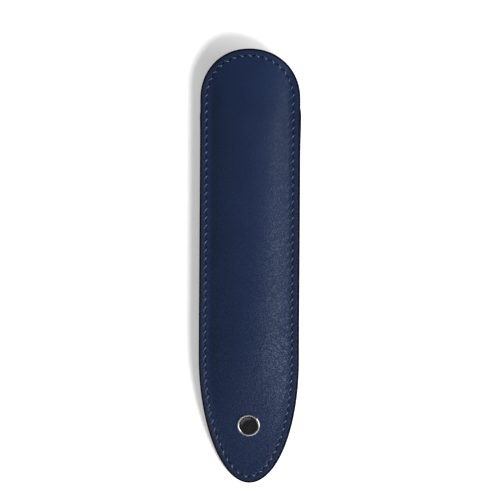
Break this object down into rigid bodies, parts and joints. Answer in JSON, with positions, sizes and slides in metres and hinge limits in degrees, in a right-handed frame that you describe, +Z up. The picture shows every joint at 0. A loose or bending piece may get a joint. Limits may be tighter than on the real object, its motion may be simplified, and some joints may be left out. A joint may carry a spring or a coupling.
{
  "type": "pen sleeve",
  "caption": "Slim leather sleeve for a pen: moulded front with a rounded tab and a long rounded tip, scooped mouth at the back, stitched seam all round and a round metal stud.",
  "frame": {"origin": "under the middle of the sleeve's box, on the plane that its back rests on", "axes": "+Y along the sleeve from the tip to the tab, +Z up through the front panel, +X to the right across it"},
  "size_m": [0.037, 0.16, 0.0169],
  "materials": {
    "leather": "smooth navy calf leather with a fine grain",
    "lining": "thin black lining leather, matt",
    "edge_coat": "black edge paint, satin",
    "thread": "navy polyester thread",
    "steel": "polished",
    "inlay": "gloss black"
  },
  "bodies": {
    "root": {"front_panel": "leather", "front_lining": "lining", "front_edge_coat": "edge_coat", "back_panel": "leather", "back_lining": "lining", "back_edge_coat": "edge_coat", "front_stitches": "thread", "back_stitches": "thread", "stud_bezel": "steel", "stud_inlay": "inlay", "stud_washer": "steel"}
  },
  "joints": []
}
